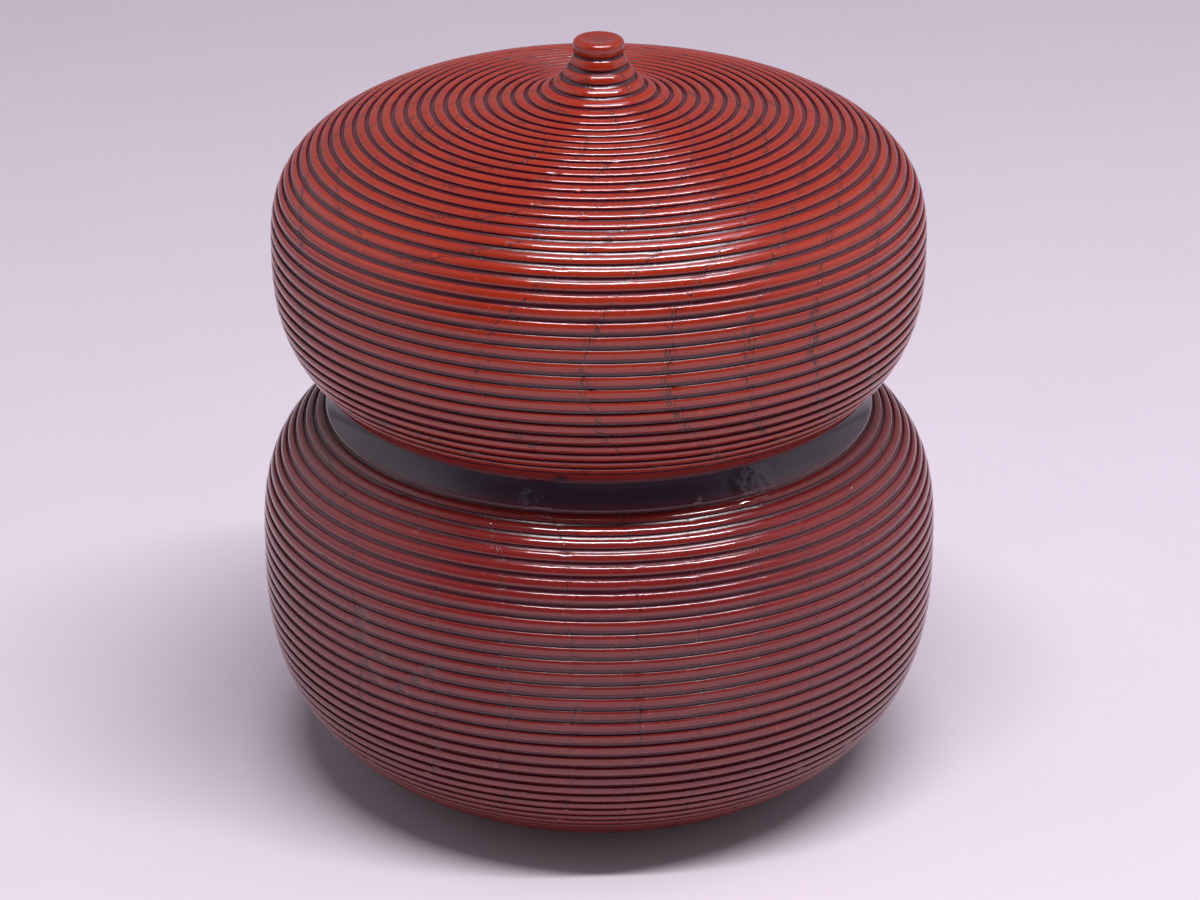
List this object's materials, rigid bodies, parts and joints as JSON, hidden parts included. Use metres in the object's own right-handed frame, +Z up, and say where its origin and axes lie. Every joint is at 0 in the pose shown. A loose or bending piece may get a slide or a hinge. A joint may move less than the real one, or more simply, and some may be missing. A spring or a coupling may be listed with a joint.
{
  "type": "gourd tea caddy",
  "caption": "lidded tea caddy turned as a double gourd, ringed all over with fine grooves in red lacquer, with a black waist and a small knob on its lift-off lid",
  "frame": {"origin": "centre of the underside, on the surface it stands on", "axes": "+Z up along the turning axis; the body is round, so +X and +Y are arbitrary"},
  "size_m": [0.07, 0.07, 0.0781],
  "materials": {
    "lacquered_wood": "glossy red lacquer on the ridges over near-black lacquer in the grooves, at the waist and inside, on open-grained turned wood"
  },
  "bodies": {
    "root": {"body": "lacquered_wood", "lid": "lacquered_wood"}
  },
  "joints": []
}
